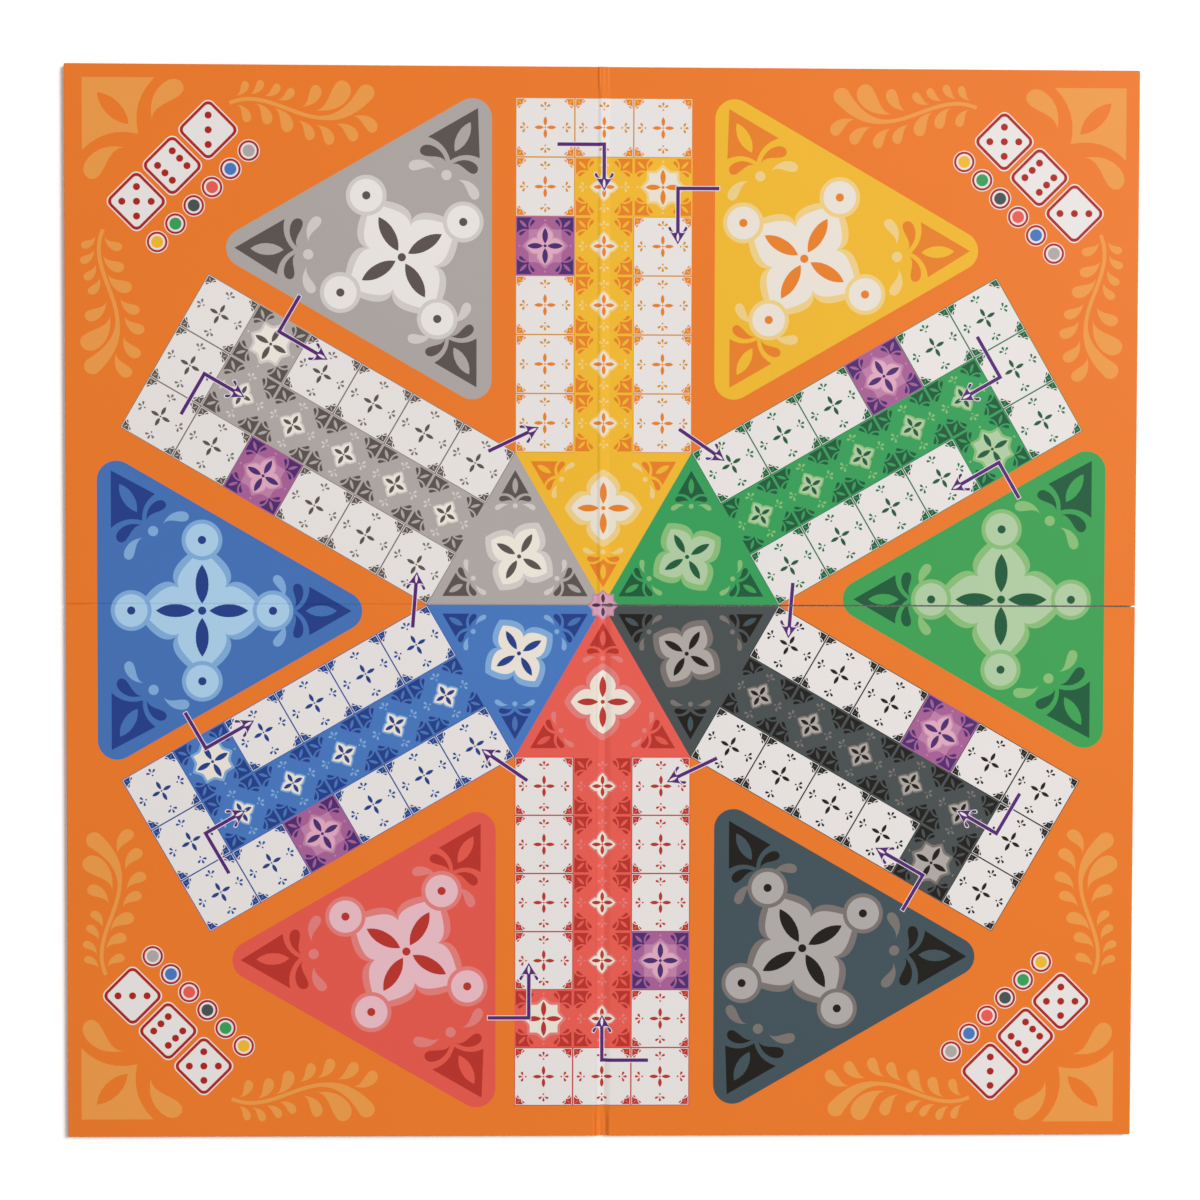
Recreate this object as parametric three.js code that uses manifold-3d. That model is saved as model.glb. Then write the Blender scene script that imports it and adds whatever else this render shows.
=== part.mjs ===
// A six-player ludo board that folds in four. Four greyboard panels are wrapped in one printed
// sheet, lined with plain paper on the back and hinged by three folds. The two right-hand panels
// are parted by a slit, so that the board first folds in half and then round itself.
// Millimetres, +Z up, +X to the right of the print and +Y towards its upper edge.
// The origin is under the middle of the open board, on the surface that it lies on.

import * as THREE from "three";
import { mergeVertices } from "three/addons/utils/BufferGeometryUtils.js";
import Module from "manifold-3d";

const wasm = await Module();
wasm.setup();

// Driving dimensions
const BOARD_WIDTH = 480; // open board, left to right
const BOARD_DEPTH = 480; // open board, lower to upper edge
const CORE_THICKNESS = 2; // greyboard
const SHEET_THICKNESS = 0.2; // printed paper, and the tape that lies level with its turn-in
const LINER_THICKNESS = 0.2; // plain paper on the back
const UPPER_FOLD_GAP = 6; // between the two upper panels
const LOWER_FOLD_GAP = 8; // between the two lower panels, which close round the upper ones
const MIDDLE_GAP = 1.2; // the left fold, and the slit in line with it
const RIDGE_RISE = 0.7; // the upper fold stands proud of the print
const GROOVE_DEPTH = 1; // the lower fold sinks below it
const CREASE_DEPTH = 0.3; // the left fold is a narrow crease
const TURN_IN_WIDTH = 12; // printed sheet folded over onto the back
const TAPE_WIDTH = 36; // hinge tape behind each fold
const LINER_MARGIN = 3; // turn-in left bare round the liner
const TAPE_REVEAL = 7; // tape left bare beside each fold
const FOLD_STEPS = 16; // facets across a fold

// Levels, from the surface that the board lies on upwards
const turnInBottom = LINER_THICKNESS;
const coreBottom = turnInBottom + SHEET_THICKNESS;
const coreTop = coreBottom + CORE_THICKNESS;
const faceTop = coreTop + SHEET_THICKNESS;

const halfWidth = BOARD_WIDTH / 2;
const halfDepth = BOARD_DEPTH / 2;
const halfMiddleGap = MIDDLE_GAP / 2;
const halfTape = TAPE_WIDTH / 2;

const printedPaper = { color: 0xdf7630, roughness: 0.5, metalness: 0 };
const greyboard = { color: 0x8e887d, roughness: 0.95, metalness: 0 };
const linerPaper = { color: 0xe6e0d2, roughness: 0.85, metalness: 0 };
const clothTape = { color: 0x2e2b29, roughness: 0.9, metalness: 0 };

const board = new THREE.Group();

function addPiece(name, geometry, look) {
  const mesh = new THREE.Mesh(geometry, new THREE.MeshStandardMaterial(look));
  mesh.name = name;
  board.add(mesh);
}

// A box between exact corners, so that neighbours meet face to face
function block(xSpan, ySpan, zSpan) {
  const geometry = new THREE.BoxGeometry(1, 1, 1);
  const corners = geometry.attributes.position;
  for (let i = 0; i < corners.count; i += 1) {
    const x = xSpan[corners.getX(i) < 0 ? 0 : 1];
    const y = ySpan[corners.getY(i) < 0 ? 0 : 1];
    const z = zSpan[corners.getZ(i) < 0 ? 0 : 1];
    corners.setXYZ(i, x, y, z);
  }
  return geometry;
}

function toSolid(geometry) {
  const bare = geometry.clone();
  bare.deleteAttribute("normal");
  bare.deleteAttribute("uv");
  const merged = mergeVertices(bare);
  const vertProperties = new Float32Array(merged.attributes.position.array);
  const triVerts = new Uint32Array(merged.index.array);
  return new wasm.Manifold(new wasm.Mesh({ numProp: 3, vertProperties, triVerts }));
}

// Joins overlapping geometries into one closed body
function join(geometries) {
  const solid = geometries.map(toSolid).reduce((whole, next) => whole.add(next));
  const mesh = solid.getMesh();
  const geometry = new THREE.BufferGeometry();
  geometry.setAttribute("position", new THREE.BufferAttribute(mesh.vertProperties, 3));
  geometry.setIndex(new THREE.BufferAttribute(mesh.triVerts, 1));
  geometry.computeVertexNormals();
  return geometry;
}

// The stretch from inner to outer on one side of a centre line
function span(side, inner, outer) {
  return side > 0 ? [inner, outer] : [-outer, -inner];
}

// One quarter of the board: its greyboard, its share of the printed sheet and its liner
function addPanel({ name, sideX, sideY, foldGap, hingedOnMiddle }) {
  const innerX = foldGap / 2;
  const innerY = halfMiddleGap;
  const wholeX = span(sideX, innerX, halfWidth);
  const wholeY = span(sideY, innerY, halfDepth);
  const coreX = span(sideX, innerX, halfWidth - SHEET_THICKNESS);
  const coreY = span(sideY, innerY, halfDepth - SHEET_THICKNESS);
  addPiece(`${name}_greyboard`, block(coreX, coreY, [coreBottom, coreTop]), greyboard);

  const edgeX = span(sideX, halfWidth - SHEET_THICKNESS, halfWidth);
  const edgeY = span(sideY, halfDepth - SHEET_THICKNESS, halfDepth);
  const turnInX = span(sideX, halfWidth - TURN_IN_WIDTH, halfWidth);
  const turnInY = span(sideY, halfDepth - TURN_IN_WIDTH, halfDepth);
  const face = join([
    block(wholeX, wholeY, [coreTop, faceTop]),
    block(edgeX, wholeY, [turnInBottom, faceTop]),
    block(wholeX, edgeY, [turnInBottom, faceTop]),
    block(turnInX, wholeY, [turnInBottom, coreBottom]),
    block(wholeX, turnInY, [turnInBottom, coreBottom]),
  ]);
  addPiece(`${name}_printed_face`, face, printedPaper);

  // The liner laps over the turn-in and the tapes, and its middle is pasted to the greyboard.
  // Along the slit it is cut flush with the panel.
  const linerX = span(sideX, innerX + TAPE_REVEAL, halfWidth - LINER_MARGIN);
  const linerStart = hingedOnMiddle ? innerY + TAPE_REVEAL : innerY;
  const linerY = span(sideY, linerStart, halfDepth - LINER_MARGIN);
  const pastedX = span(sideX, halfTape, halfWidth - TURN_IN_WIDTH);
  const pastedStart = hingedOnMiddle ? halfTape : innerY;
  const pastedY = span(sideY, pastedStart, halfDepth - TURN_IN_WIDTH);
  const liner = join([
    block(linerX, linerY, [0, LINER_THICKNESS]),
    block(pastedX, pastedY, [0, coreBottom]),
  ]);
  addPiece(`${name}_back_liner`, liner, linerPaper);
}

// The printed surface across a fold: level with the panels at both edges, raised or sunk between
function foldSurface(gap, rise) {
  const points = [];
  for (let step = 0; step <= FOLD_STEPS; step += 1) {
    const across = (step / FOLD_STEPS - 0.5) * gap;
    const swell = 0.5 + 0.5 * Math.cos((2 * Math.PI * across) / gap);
    points.push(new THREE.Vector2(across, faceTop + rise * swell));
  }
  return points;
}

function extrudeAlongFold(outline, length) {
  return new THREE.ExtrudeGeometry(new THREE.Shape(outline), { depth: length, bevelEnabled: false });
}

// One fold, worked from the board's outer edge inwards: the printed sheet that bridges the gap and
// turns over the edge, and the tape behind it. Its local axes are across, up and inward.
function addFold({ name, gap, rise, outerEnd, inward, length, tapeLength }) {
  const up = new THREE.Vector3(0, 0, 1);
  const across = new THREE.Vector3().crossVectors(up, inward);
  const placing = new THREE.Matrix4().makeBasis(across, up, inward).setPosition(outerEnd);

  const surface = foldSurface(gap, rise);
  const underside = surface.map((point) => new THREE.Vector2(point.x, point.y - SHEET_THICKNESS));
  const foot = [new THREE.Vector2(-gap / 2, turnInBottom), new THREE.Vector2(gap / 2, turnInBottom)];
  const skin = extrudeAlongFold([...underside, ...surface.toReversed()], length);
  const edge = extrudeAlongFold([...foot, ...surface.toReversed()], SHEET_THICKNESS);
  const turnIn = block([-gap / 2, gap / 2], [turnInBottom, coreBottom], [0, TURN_IN_WIDTH]);
  addPiece(`${name}_printed_strip`, join([skin, edge, turnIn]).applyMatrix4(placing), printedPaper);

  const tape = block([-halfTape, halfTape], [turnInBottom, coreBottom], [TURN_IN_WIDTH, tapeLength]);
  addPiece(`${name}_hinge_tape`, tape.applyMatrix4(placing), clothTape);
}

addPanel({ name: "upper_left", sideX: -1, sideY: 1, foldGap: UPPER_FOLD_GAP, hingedOnMiddle: true });
addPanel({ name: "upper_right", sideX: 1, sideY: 1, foldGap: UPPER_FOLD_GAP, hingedOnMiddle: false });
addPanel({ name: "lower_left", sideX: -1, sideY: -1, foldGap: LOWER_FOLD_GAP, hingedOnMiddle: true });
addPanel({ name: "lower_right", sideX: 1, sideY: -1, foldGap: LOWER_FOLD_GAP, hingedOnMiddle: false });

addFold({
  name: "upper_fold",
  gap: UPPER_FOLD_GAP,
  rise: RIDGE_RISE,
  outerEnd: new THREE.Vector3(0, halfDepth, 0),
  inward: new THREE.Vector3(0, -1, 0),
  length: halfDepth - halfMiddleGap,
  tapeLength: halfDepth - halfMiddleGap,
});
addFold({
  name: "lower_fold",
  gap: LOWER_FOLD_GAP,
  rise: -GROOVE_DEPTH,
  outerEnd: new THREE.Vector3(0, -halfDepth, 0),
  inward: new THREE.Vector3(0, 1, 0),
  length: halfDepth - halfMiddleGap,
  tapeLength: halfDepth - halfMiddleGap,
});
addFold({
  name: "left_fold",
  gap: MIDDLE_GAP,
  rise: -CREASE_DEPTH,
  outerEnd: new THREE.Vector3(-halfWidth, 0, 0),
  inward: new THREE.Vector3(1, 0, 0),
  length: halfWidth,
  tapeLength: halfWidth - halfTape,
});

export default board;
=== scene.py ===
import cmath
import math

import bmesh
import bpy
import numpy as np
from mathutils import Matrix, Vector
from mathutils.geometry import delaunay_2d_cdt


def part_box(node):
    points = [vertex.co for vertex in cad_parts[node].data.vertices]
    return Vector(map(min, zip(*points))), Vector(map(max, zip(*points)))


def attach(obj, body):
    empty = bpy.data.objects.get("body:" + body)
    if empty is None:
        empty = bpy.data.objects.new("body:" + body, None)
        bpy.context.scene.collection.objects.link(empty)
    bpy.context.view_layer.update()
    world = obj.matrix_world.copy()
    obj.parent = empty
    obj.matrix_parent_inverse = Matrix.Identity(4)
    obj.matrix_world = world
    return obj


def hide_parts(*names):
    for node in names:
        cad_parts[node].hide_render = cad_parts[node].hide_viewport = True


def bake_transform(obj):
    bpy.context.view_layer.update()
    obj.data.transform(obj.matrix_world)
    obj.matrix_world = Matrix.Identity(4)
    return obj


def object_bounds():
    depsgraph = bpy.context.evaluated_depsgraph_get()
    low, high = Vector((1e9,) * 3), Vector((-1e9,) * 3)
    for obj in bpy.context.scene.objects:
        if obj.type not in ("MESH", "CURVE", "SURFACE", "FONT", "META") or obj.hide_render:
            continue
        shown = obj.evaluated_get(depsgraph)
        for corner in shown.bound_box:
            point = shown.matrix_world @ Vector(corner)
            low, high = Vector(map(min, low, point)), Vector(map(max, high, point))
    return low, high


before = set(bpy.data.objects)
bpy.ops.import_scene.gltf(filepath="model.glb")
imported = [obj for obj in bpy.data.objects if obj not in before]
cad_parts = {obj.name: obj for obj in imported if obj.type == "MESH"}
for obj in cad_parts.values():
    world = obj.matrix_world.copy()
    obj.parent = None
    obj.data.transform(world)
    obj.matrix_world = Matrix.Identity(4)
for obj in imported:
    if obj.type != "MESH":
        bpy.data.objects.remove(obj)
cad_low, cad_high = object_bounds()

# Levels and edges of the board, read from the frame. Everything drawn below is in millimetres.
MM = 0.001
PANELS = {"upper_left": (-1, 1), "upper_right": (1, 1), "lower_left": (-1, -1), "lower_right": (1, -1)}


def reach_of(node):
    low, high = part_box(node)
    return low / MM, high / MM


face_low, face_high = reach_of("upper_right_printed_face")
core_high = reach_of("upper_right_greyboard")[1]
tape_high = reach_of("upper_fold_hinge_tape")[1]
HALF_BOARD = face_high.x
FACE_TOP = face_high.z
FACE_BACK = core_high.z
SHEET = FACE_TOP - FACE_BACK
TURN_IN = HALF_BOARD - tape_high.y
TURN_IN_BOTTOM = face_low.z
TURN_IN_TOP = TURN_IN_BOTTOM + SHEET

# Sizes of the print
CELL = 26.3
CELL_LINE = 0.6
CORNER_INSET = 0.57
SMALL_CORNER = {"length": 3.65, "depth": 3.5}
LARGE_CORNER = {"length": 6.8, "depth": 7.7}
SPRIG_PLACE = 8.9
DOT_PLACE = 11.4
DOT_RADIUS = 0.5
HOME_SIDE = 3 * CELL
HOME_DEPTH = HOME_SIDE * math.sqrt(3) / 2
HOME_ROSETTE_PLACE = 43.5
ARM_ROWS = 6
ARM_END = HOME_DEPTH + ARM_ROWS * CELL
YARD_SIDE = 146.5
YARD_END = 226.0
YARD_ROUNDING = 8.7
MEDALLION_PLACE = 179.3
TOKEN_SPOT_PLACE = 31.6  # from the middle of a medallion
ARROW_LINE = 1.6
HAIRLINE = 0.3
PIP_STEP = 4.6
PIP_RADIUS = 1.6

# The edge of the sheet where it turns over the greyboard, and the sheet over the folds
EDGE_ROUNDING = 0.3
LOWER_ROUNDING = 0.2
CORNER_ROUNDING = 0.6
LEAST_ROUNDING = 0.1
EDGE_STEPS = 4
SHARP_ANGLE = math.radians(40)
SLIT_LAP = 0.25  # the sheet laps over the slit by this much from each side
PUCKER_LENGTH = 13.5
PUCKER_ROWS = 12
STRIP_ROW = 5.0
SCORE_WIDTH = 0.7
WAVER = 0.3
WAVER_SCALE = 60.0  # wavers to the metre
TAPE_ROWS = 12
TAPE_SINK = 0.5  # the tape is pressed into the gap between the greyboards
FLAT_ENOUGH = 0.5  # the upward part of a face's normal, above which the tape is shaded smooth

# The bake map of a printed piece: how far its face, its edge and its back reach, and the gap between them
FACE_SHARE = 0.93
EDGE_SHARE = 0.965
BACK_SHARE = 0.999
BAKE_GAP = 0.004
EDGE_BAND = TURN_IN + 1  # what lies this near to an outer edge goes into the edge's own band of the map

# Inks, one for each player from yellow clockwise, and those that all share
PLAYERS = 6
PLAYER_INKS = {
    "base": ("#efb839", "#3f9e5d", "#4e5354", "#e76156", "#4e79bd", "#b0a8a4"),
    "yard": ("#edb739", "#45a058", "#47565c", "#e25d51", "#4b74b5", "#aea6a2"),
    "dark": ("#e58232", "#2a5c40", "#262421", "#b83c35", "#304588", "#5f5653"),
    "mid": ("#eccd88", "#8abc7a", "#7c7571", "#e1807d", "#82abd7", "#d1cbc7"),
    "pale": ("#e8e0d4", "#b1cca4", "#b0aba8", "#e7bac2", "#abcde7", "#e9e4e1"),
    "cream": ("#e8e0d0", "#b1cca4", "#b0a9a4", "#ebe2d5", "#ebe3d7", "#ebe5da"),
    "fine": ("#d5902e", "#257548", "#242526", "#bf3c36", "#2f529c", "#7d7570"),
}
SHARED_INKS = {
    "ground": "#e97c34",
    "tile": "#e99b4f",
    "paper": "#e7e2df",
    "safe": "#a86497",
    "safe_dark": "#503671",
    "safe_mid": "#be82a8",
    "safe_light": "#d39db6",
    "safe_pale": "#e0aac1",
    "arrow": "#5a3076",
    "hairline": "#ebe4e4",
    "die_line": "#ad2f2a",
    "raw_paper": "#d9d2c8",
    "star": "#d8a0b7",
    "star_line": "#bf8ba2",
    "star_dark": "#4e3a55",
}
INKS = [*PLAYER_INKS, *SHARED_INKS]
GLOSS_ADDS = 0.014
DARKEST = 0.002


def linear(code):
    """A colour code as the linear light that Blender reckons with"""
    channels = [int(code[k : k + 2], 16) / 255 for k in (1, 3, 5)]
    return [c / 12.92 if c <= 0.04045 else ((c + 0.055) / 1.055) ** 2.4 for c in channels] + [1.0]


def ink_colour(name, player=0):
    """An ink as the table gives it, less what the sheet's gloss adds to it"""
    *channels, alpha = linear(PLAYER_INKS[name][player] if name in PLAYER_INKS else SHARED_INKS[name])
    return [max(c - GLOSS_ADDS, DARKEST) for c in channels] + [alpha]


# Outlines, as complex numbers: real to the right, imaginary up
QUARTERS = (1, 1j, -1, -1j)
TEARDROP = 1.54  # makes a drop as wide as it is asked to be
HOOK = 6.75  # bends a tail as far as it is asked to
LEAF_FULLNESS = 2.3  # 2 gives a leaf plain arcs for its sides


def direction(degrees):
    return cmath.rect(1, math.radians(degrees))


def unit(vector):
    return vector / abs(vector)


def mirrored(outline):
    return [p.conjugate() for p in outline]


def bow(start, end, sag, steps):
    """From start up to end on a curve that swells to the left by sag"""
    along = end - start
    left = 1j * unit(along)
    shares = [k / steps for k in range(steps)]
    return [start + along * t + left * sag * 4 * t * (1 - t) for t in shares]


def curve(start, first_pull, last_pull, end, steps):
    """From start up to end on a cubic curve"""
    points = []
    for k in range(steps):
        t = k / steps
        far = 1 - t
        points.append(far**3 * start + 3 * far**2 * t * first_pull + 3 * far * t**2 * last_pull + t**3 * end)
    return points


def leaf(start, end, width, steps):
    """A pointed leaf, fuller than two arcs would make it"""
    along = end - start
    left = 1j * unit(along) * width / 2
    shares = [math.sin(math.pi / 2 * k / steps) ** 2 for k in range(steps)]
    one_side = [(along * t, left * (1 - abs(2 * t - 1) ** LEAF_FULLNESS)) for t in shares]
    return [start + on + out for on, out in one_side] + [end - on - out for on, out in one_side]


def drop(tip, head, width, bend, steps):
    """A teardrop from its point to its round head, with its tail hooked to the left"""
    along = head - tip
    left = 1j * unit(along)
    outline = []
    for k in range(steps):
        angle = math.tau * k / steps
        share = math.sin(angle / 2) ** 2
        swell = TEARDROP * math.sin(angle) * share
        hook = HOOK * bend * share * (1 - share) ** 2
        outline.append(tip + along * share + left * (width / 2 * swell + hook))
    return outline


def disc(centre, radius, steps=24):
    return [centre + cmath.rect(radius, math.tau * k / steps) for k in range(steps)]


def square(half):
    return [half * (1 + 1j) * turn for turn in QUARTERS]


def rounded(corners, radius, steps=12):
    """A polygon with every corner turned on an arc"""
    outline = []
    for before, corner, after in zip(corners[-1:] + corners[:-1], corners, corners[1:] + corners[:1]):
        back = unit(before - corner)
        on = unit(after - corner)
        half_angle = abs(cmath.phase(on / back)) / 2
        centre = corner + unit(back + on) * radius / math.sin(half_angle)
        first = corner + back * radius / math.tan(half_angle)
        last = corner + on * radius / math.tan(half_angle)
        sweep = cmath.phase((last - centre) / (first - centre))
        outline += [centre + (first - centre) * cmath.rect(1, sweep * k / steps) for k in range(steps + 1)]
    return outline


def four_lobes(side):
    """Four equal lobes from half of one: side runs from a notch to the tip of the lobe on the right"""
    lobe = side + mirrored(side[-2:0:-1])
    return [p * turn for turn in (1, -1j, -1, 1j) for p in lobe]


def quatrefoil(tip, notch, fullness=1.0, steps=8):
    rise = tip - notch
    shoulder = complex(notch + 0.39 * rise, (1 + 0.28 * fullness) * notch)
    neck = complex(notch + 0.77 * rise, 0.69 * fullness * notch)
    return four_lobes(curve(notch * (1 + 1j), shoulder, neck, tip, steps) + [tip])


def pointed_square(half, tip):
    """A square with a pointed swelling on each side"""
    shoulder = complex(half, 0.55 * half)
    hollow = complex(half, 0.34 * half)
    neck = complex(0.7 * tip + 0.3 * half, 0.2 * half)
    return four_lobes([half * (1 + 1j)] + curve(shoulder, hollow, neck, tip, 6) + [tip])


def band(points, widths):
    """A stroke along points, mitred where it turns"""
    headings = [unit(b - a) for a, b in zip(points, points[1:])]
    left = []
    right = []
    for point, width, coming, going in zip(points, widths, headings[:1] + headings, headings + headings[-1:]):
        mitre = unit(coming + going)
        offset = 1j * mitre * width / 2 / (mitre.real * going.real + mitre.imag * going.imag)
        left.append(point + offset)
        right.append(point - offset)
    return left + right[::-1]


def placed(shapes, place, turn=1):
    return [(ink, [place + p * turn for p in outline]) for ink, outline in shapes]


def four_times(shapes):
    return [shape for turn in QUARTERS for shape in placed(shapes, 0, turn)]


# Motifs of the print: lists of inks and outlines, in the order in which they are printed

# How the ornament in a corner is drawn. Its drops stand beside its hollow sides: where they start and end
# is given along a side and out from it, and these, their width and their bend are shares of the side. Where
# its vein starts and ends, how wide it is, and where the light drops beyond it start and end, are shares of
# its depth.
YARD_CORNER = {
    "tail": 0.04 + 0.14j,
    "head": 0.91 + 0.4j,
    "width": 0.38,
    "bend": 0.12,
    "hollow": 0.14,
    "vein": (0.27, 0.83, 0.2),
    "light": (1.25 + 0.2j, 1.37 + 0.65j),
    "fine": 2,
}
HOME_CORNER = {
    **YARD_CORNER,
    "tail": 0.05 + 0.26j,
    "head": 1.05 + 0.36j,
    "width": 0.42,
    "bend": 0.14,
    "light": (1.24 + 0.22j, 1.34 + 0.71j),
}
TILE_CORNER = {**YARD_CORNER, "tail": 0.29 + 0.16j, "head": 1.07 + 0.43j, "width": 0.35, "bend": 0.11}
CELL_CORNER = {
    "tail": 0.18 + 0.06j,
    "head": 0.87 + 0.19j,
    "width": 0.26,
    "bend": 0.06,
    "hollow": 0.17,
    "vein": (0.22, 0.82, 0.18),
    "fine": 1,
}


def side_drop(depth, arm, style):
    """A drop beside the side of a kite, from its point towards the end of an arm"""
    side = arm - depth
    tail, head = (depth + side * style[end].conjugate() for end in ("tail", "head"))
    return drop(tail, head, style["width"] * abs(side), style["bend"] * abs(side), 10 + 4 * style["fine"])


def corner_leaf(arms, depth, style, inks):
    """A kite with hollow sides, a leaf on it and a drop on each side, from an apex along the real axis"""
    left, right = arms
    kite, vein = inks
    fine = style["fine"]
    first, last, width = (depth * share for share in style["vein"])
    outline = [0]
    for start, end in ((right, depth), (depth, left)):
        outline += bow(start, end, style["hollow"] * abs(end - start), 2 + 2 * fine)
    return [
        (kite, [*outline, left]),
        (vein, leaf(first, last, width, 4 + 2 * fine)),
        (kite, side_drop(depth, left, style)),
        (kite, mirrored(side_drop(depth, right.conjugate(), style))),
    ]


def even_arms(length, opening):
    arm = length * direction(opening / 2)
    return arm, arm.conjugate()


def triangle_corner(arms, depth, style, lean=0):
    """The ornament in a corner of a yard or a home triangle, and a disc and two drops that may lean away"""
    tail, head = (depth * place for place in style["light"])
    light_drop = drop(tail, head, width=0.185 * depth, bend=0.06 * depth, steps=20)
    spot = disc(1.25 * depth, radius=0.088 * depth, steps=18)
    beyond = [("mid", spot), ("mid", light_drop), ("mid", mirrored(light_drop))]
    return corner_leaf(arms, depth, style, ("dark", "yard")) + placed(beyond, 0, direction(lean))


def corner_ornaments(corners, ornaments):
    """An ornament for each corner of a triangle, with how far in its apex stands and how it leans"""
    centroid = sum(corners) / 3
    shapes = []
    for corner, (apex, lean, ornament) in zip(corners, ornaments):
        inward = unit(centroid - corner)
        shapes += placed(ornament, corner + apex * inward, inward * direction(lean))
    return shapes


def sprigs(ink):
    """Three drops over a dot, at each side of a cell"""
    one_drop = drop(0.3, 2.45, width=1.1, bend=0, steps=12)
    drops = [(ink, [p * direction(angle) for p in one_drop]) for angle in (-64, 0, 64)]
    return four_times(placed([*drops, (ink, disc(-0.9, 0.42, 10))], SPRIG_PLACE))


def side_dots(ink):
    return four_times([(ink, disc(DOT_PLACE, DOT_RADIUS, 10))])


def petals(ink, start, end, width, heart, steps=7):
    four = four_times([(ink, leaf(start, end, width, steps))])
    return four + [(ink, disc(0, heart, 2 * steps))]


def cell_corners(length, depth, inks=("dark", "base")):
    apex = (CELL / 2 - CORNER_INSET) * (1 + 1j)
    ornament = corner_leaf(even_arms(length, 90), depth, CELL_CORNER, inks)
    return four_times(placed(ornament, apex, direction(225)))


WHITE_CELL = [
    ("fine", square(CELL / 2)),
    ("paper", square((CELL - CELL_LINE) / 2)),
    *cell_corners(**SMALL_CORNER),
    *sprigs("fine"),
    *petals("dark", start=0.7, end=4.85, width=1.65, heart=0.4),
]
HOME_CELL = [
    *cell_corners(**LARGE_CORNER),
    *sprigs("mid"),
    ("mid", quatrefoil(tip=6.7, notch=2.8, fullness=0.5)),
    ("cream", quatrefoil(tip=5.9, notch=2.25, fullness=0.5)),
    *petals("dark", start=0.5, end=4.8, width=1.75, heart=0.4),
]
START_CELL = [
    *cell_corners(**LARGE_CORNER),
    *side_dots("mid"),
    ("mid", pointed_square(half=7.3, tip=10.2)),
    ("cream", pointed_square(half=6.25, tip=8.7)),
    *petals("dark", start=1.0, end=7.9, width=2.4, heart=0.7),
]
SAFE_CELL = [
    ("safe", square(CELL / 2)),
    *cell_corners(**LARGE_CORNER, inks=("safe_dark", "safe")),
    *side_dots("safe_mid"),
    ("safe_mid", pointed_square(half=7.3, tip=10.2)),
    ("safe_light", quatrefoil(tip=8.8, notch=3.5)),
    ("safe_pale", quatrefoil(tip=8.2, notch=3.1)),
    *petals("safe_dark", start=1.0, end=8.0, width=2.55, heart=0.7),
]


def home_triangle():
    far = HOME_SIDE * direction(30)
    corners = [0, far.conjugate(), far]
    ornament = triangle_corner(even_arms(length=12.2, opening=60), 12.8, HOME_CORNER)
    rosette = [
        ("mid", quatrefoil(tip=17.4, notch=7.1, steps=12)),
        ("cream", quatrefoil(tip=14.4, notch=5.4, steps=12)),
        *petals("dark", start=2.0, end=11.6, width=3.1, heart=0.95, steps=9),
    ]
    ornaments = corner_ornaments(corners, 3 * [(7.9, 0, ornament)])
    return [("base", corners), *ornaments, *placed(rosette, HOME_ROSETTE_PLACE)]


def medallion_lobe(grow):
    """Half of a lobe: from the notch out to where the token circle covers it"""
    notch = (10.3 + 0.75 * grow) * (1 + 1j)
    shoulder = complex(14.2 + 0.7 * grow, 12.2 + 1.2 * grow)
    neck = complex(18.6 + 1.2 * grow, 9.4 + 1.4 * grow)
    covered = complex(24.2 + 0.9 * grow, 3.4 + 0.9 * grow)
    return curve(notch, shoulder, neck, covered, 14) + [complex(27.0, 2.0), 28.0]


def medallion():
    rings = (("mid", 9.1, 40), ("pale", 7.3, 36), ("dark", 1.85, 20))
    return [
        ("mid", four_lobes(medallion_lobe(grow=2.0))),
        ("pale", four_lobes(medallion_lobe(grow=0.0))),
        *four_times([(ink, disc(TOKEN_SPOT_PLACE, radius, steps)) for ink, radius, steps in rings]),
        *petals("dark", start=3.2, end=20.6, width=5.8, heart=1.85, steps=12),
    ]


def yard():
    tip = YARD_END - YARD_SIDE * math.sqrt(3) / 2
    corners = [complex(YARD_END, -YARD_SIDE / 2), complex(YARD_END, YARD_SIDE / 2), complex(tip, 0)]
    outer_arm = 25.7 * direction(32)
    flank_arm = 22.2 * direction(30)
    outer_depth = 26.3
    ornaments = (
        (12.4, 2, triangle_corner((flank_arm, outer_arm.conjugate()), outer_depth, YARD_CORNER, lean=2.8)),
        (12.4, -2, triangle_corner((outer_arm, flank_arm.conjugate()), outer_depth, YARD_CORNER, lean=-2.8)),
        (13.5, 0, triangle_corner(even_arms(length=21.8, opening=60), 24.6, YARD_CORNER)),
    )
    ground = ("yard", rounded(corners, YARD_ROUNDING))
    return [ground, *corner_ornaments(corners, ornaments), *placed(medallion(), MEDALLION_PLACE)]


def arrow(points):
    """A stroke with a barbed head that holds a pale leaf, over a hairline edge"""
    tip = points[-1]
    onward = unit(tip - points[-2])
    shapes = []
    for ink, grow in (("hairline", HAIRLINE), ("arrow", 0.0)):
        start = points[0] - grow * unit(points[1] - points[0])
        stroke = [start, *points[1:-1], tip - 4.6 * onward]
        barb = complex(-5.9 - grow, 3.7 + grow)
        back = complex(-5.4 - grow, 0.75)
        side = bow(2 * grow + 0j, barb, sag=0.12, steps=4) + bow(barb, back, sag=0.45, steps=5) + [back]
        curl_tip = complex(-5.9 + grow, 1.6 - grow)
        curl_head = complex(-7.7 - grow, 4.15 + grow)
        curl = drop(curl_tip, curl_head, width=1.4 + 2 * grow, bend=-0.55, steps=14)
        head = [(ink, side + mirrored(side[:0:-1])), (ink, curl), (ink, mirrored(curl))]
        shapes.append((ink, band(stroke, [ARROW_LINE + 2 * grow] * len(stroke))))
        shapes += placed(head, tip, onward)
    return shapes + placed([("hairline", leaf(-1.2, -5.2, width=1.15, steps=7))], tip, onward)


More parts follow.
